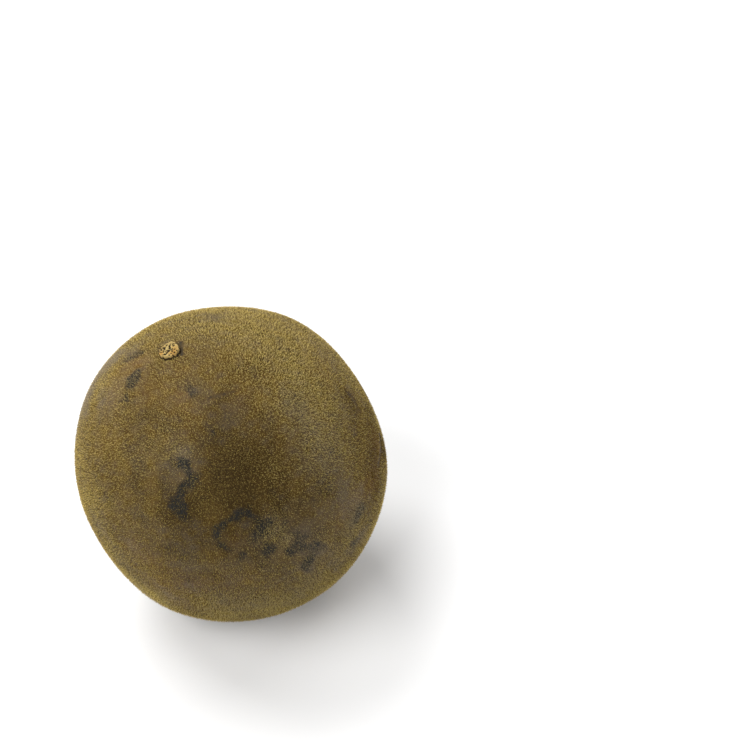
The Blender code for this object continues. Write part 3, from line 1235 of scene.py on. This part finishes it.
def hair_points(polar, turn, tufted_and_lit, seed):
    """Four points a hair: a ring of three at its root and a tip.

    The hair rises from the skin at a seeded angle, in a seeded direction along the skin.
    """
    draw = np.random.default_rng(seed)
    count = len(polar)
    skin, normal = fruit_points(polar, turn, skin_height(polar, turn))
    free = draw.normal(size=(count, 3))
    along = free - (free * normal).sum(-1, keepdims=True) * normal
    along /= np.linalg.norm(along, axis=-1, keepdims=True)
    length = draw.uniform(*HAIR_LENGTH, (count, 1)) * (1 + TUFT_LONGER * tufted_and_lit[:, None])
    radius = draw.uniform(*HAIR_RADIUS, (count, 1)) * (1 + TUFT_THICKER * tufted_and_lit[:, None])
    rise = np.radians(draw.triangular(*HAIR_RISE_DEG, (count, 1)))
    rising = np.cos(rise) * along + np.sin(rise) * normal
    root = skin - HAIR_ROOT * normal
    beside = np.cross(rising, normal)
    beside /= np.linalg.norm(beside, axis=-1, keepdims=True)
    above = np.cross(beside, rising)
    ring = []
    for angle in (90, 210, 330):
        up, out = math.sin(math.radians(angle)), math.cos(math.radians(angle))
        ring.append(root + radius * (up * above + out * beside))
    return set_down(np.stack((*ring, skin + length * rising), 1), floor=HAIR_OFF_FLOOR)


# Corners of one hair's four triangles: the root, facing down, then its three sides. The way
# along it is 0 at the three points of its root and 1 at its tip.
HAIR_FACES = np.array(((0, 1, 2), (0, 3, 1), (1, 3, 2), (2, 3, 0)))
HAIR_ALONG = np.array((0.0, 0.0, 0.0, 1.0))

# Dry plant hair, straw yellow and faintly glossy, browner at the root and dull grey on a stain,
# with painted grey sheen on the bloom marks and painted brown shade on the dark marks.
hair_material = bpy.data.materials.new("dry_straw_hair")
hair_material.use_nodes = True
tree = hair_material.node_tree
shader = tree.nodes["Principled BSDF"]
shader.inputs["IOR"].default_value = 1.5
shader.inputs["Specular IOR Level"].default_value = 0.15
shader.inputs["Roughness"].default_value = 0.65
STRAW = linear("#DEC675")
HAIR_OLIVE = linear("#6A511C")
HAIR_BROWN = linear("#44320C")
HAIR_RUSSET = linear("#8E6B34")
HAIR_BLOOM_AND_SHEEN = linear("#948A7E")
HAIR_STAINED = linear("#5C5A55")

# Olive, with each colour laid over the ones before it: the attribute that it follows from 0 up
# to a value, and how much of the colour there is at 0 and from that value on
colour = HAIR_OLIVE
for name, highest, share_at_none, share_at_highest, laid_over in (
    ("tone", 1.0, 0.0, 1.0, STRAW),
    ("russet", 1.0, 0.0, 0.3, HAIR_RUSSET),
    ("bloom_and_sheen", BLOOM_AND_SHEEN_MOST, 0.0, 0.62, HAIR_BLOOM_AND_SHEEN),
    ("stained", 1.0, 0.0, 0.3, HAIR_STAINED),
    ("dark_tone_and_shade", DARK_TONE_AND_SHADE_MOST, 0.0, 0.6, HAIR_BROWN),
    ("along", 0.6, 0.9, 0.0, HAIR_BROWN),
):
    read = add_node(tree, "ShaderNodeAttribute", {"attribute_name": name})
    share = add_node(
        tree,
        "ShaderNodeMapRange",
        Value=read.outputs["Fac"],
        From_Max=highest,
        To_Min=share_at_none,
        To_Max=share_at_highest,
    )
    mixed = add_node(
        tree,
        "ShaderNodeMix",
        {"data_type": "RGBA"},
        _0=share.outputs["Result"],
        _6=colour,
        _7=laid_over,
    )
    colour = mixed.outputs[2]
tree.links.new(colour, shader.inputs["Base Color"])


def hair_map(piece, count):
    """A map for baking: each hair has a square cell, its root below and three sides above."""
    cells = math.ceil(math.sqrt(count))
    margin, root_top, root_strip = 0.12, 0.15, 0.2
    faces = [((0.0, 0.0), (0.5, root_top), (1.0, 0.0))]
    for k in range(3):
        faces.append(((k / 3, root_strip), ((k + 0.5) / 3, 1.0), ((k + 1) / 3, root_strip)))
    cell = margin + (1 - 2 * margin) * np.array(faces)
    column, row = np.arange(count) % cells, np.arange(count) // cells
    place_of = np.stack((column, row), -1)[:, None, None, :] + cell
    layer = piece.data.uv_layers.new(name="OFBake")
    layer.data.foreach_set("uv", (place_of / cells).astype(np.float32).ravel())


hair_count = HAIRS_A_PIECE * len(HAIR_ZONES)
hair_polar, hair_turn, hair_marks = hair_roots(hair_count, seed=5)
order = np.argsort(hair_polar)
for zone, chosen in zip(HAIR_ZONES, np.array_split(order, len(HAIR_ZONES))):
    spikes = hair_points(
        hair_polar[chosen], hair_turn[chosen], hair_marks["tufted_and_lit"][chosen], seed=7
    )
    first = np.arange(len(chosen)) * len(HAIR_ALONG)
    corners = (first[:, None, None] + HAIR_FACES).ravel()
    sizes = np.full(len(chosen) * len(HAIR_FACES), 3)
    hairs = new_piece(
        "hair_" + zone, spikes.reshape(-1, 3), corners, sizes, hair_material, "hair"
    )
    paint(hairs, "along", np.tile(HAIR_ALONG, len(chosen)))
    for name in ("tone", "russet", "bloom_and_sheen", "stained", "dark_tone_and_shade"):
        paint(hairs, name, np.repeat(hair_marks[name][chosen], len(HAIR_ALONG)))
    hair_map(hairs, len(chosen))


# The floor and the light
# A wide plain white board, two soft boxes high up behind the fruit, one low at the right and
# one at the front left, and a weak even light from all round.
FLOOR_HALF = 1.5
floor_mesh = bpy.data.meshes.new("floor")
floor_mesh.from_pydata(
    [(x * FLOOR_HALF, y * FLOOR_HALF, 0.0) for x, y in ((-1, -1), (1, -1), (1, 1), (-1, 1))],
    [],
    [(0, 1, 2, 3)],
)
floor = bpy.data.objects.new("floor", floor_mesh)
bpy.context.scene.collection.objects.link(floor)
white = bpy.data.materials.new("white_board")
white.use_nodes = True
shader = white.node_tree.nodes["Principled BSDF"]
shader.inputs["Base Color"].default_value = linear("#F2F2F2")
shader.inputs["Roughness"].default_value = 0.35
shader.inputs["Specular IOR Level"].default_value = 0.4
floor_mesh.materials.append(white)

# Side of each soft box in metres
SOFT_BOX_SIZE = 0.6


def soft_box(name, at, power):
    """A square lamp at a place in metres, of a power in watts, aimed at the fruit's middle."""
    lamp = bpy.data.lights.new(name, "AREA")
    lamp.shape = "RECTANGLE"
    lamp.size = SOFT_BOX_SIZE
    lamp.size_y = SOFT_BOX_SIZE
    lamp.energy = power
    holder = bpy.data.objects.new(name, lamp)
    holder.location = at
    way = np.array(at) - FRUIT_AT
    holder.rotation_euler = (
        math.atan2(math.hypot(way[0], way[1]), way[2]),
        0.0,
        math.atan2(way[1], way[0]) + math.pi / 2,
    )
    bpy.context.scene.collection.objects.link(holder)


soft_box("back_left_light", (-0.365, 0.365, 0.737), 7.0)
soft_box("back_right_light", (0.365, 0.365, 0.737), 2.25)
soft_box("right_light", (0.846, 0.0, 0.308), 4.8)
soft_box("front_left_light", (-0.450, -0.450, 0.636), 7.65)
world = bpy.data.worlds.new("studio")
world.use_nodes = True
world.node_tree.nodes["Background"].inputs["Color"].default_value = (1.0, 1.0, 1.0, 1.0)
world.node_tree.nodes["Background"].inputs["Strength"].default_value = 0.02
bpy.context.scene.world = world
bpy.context.scene.view_settings.view_transform = "Standard"
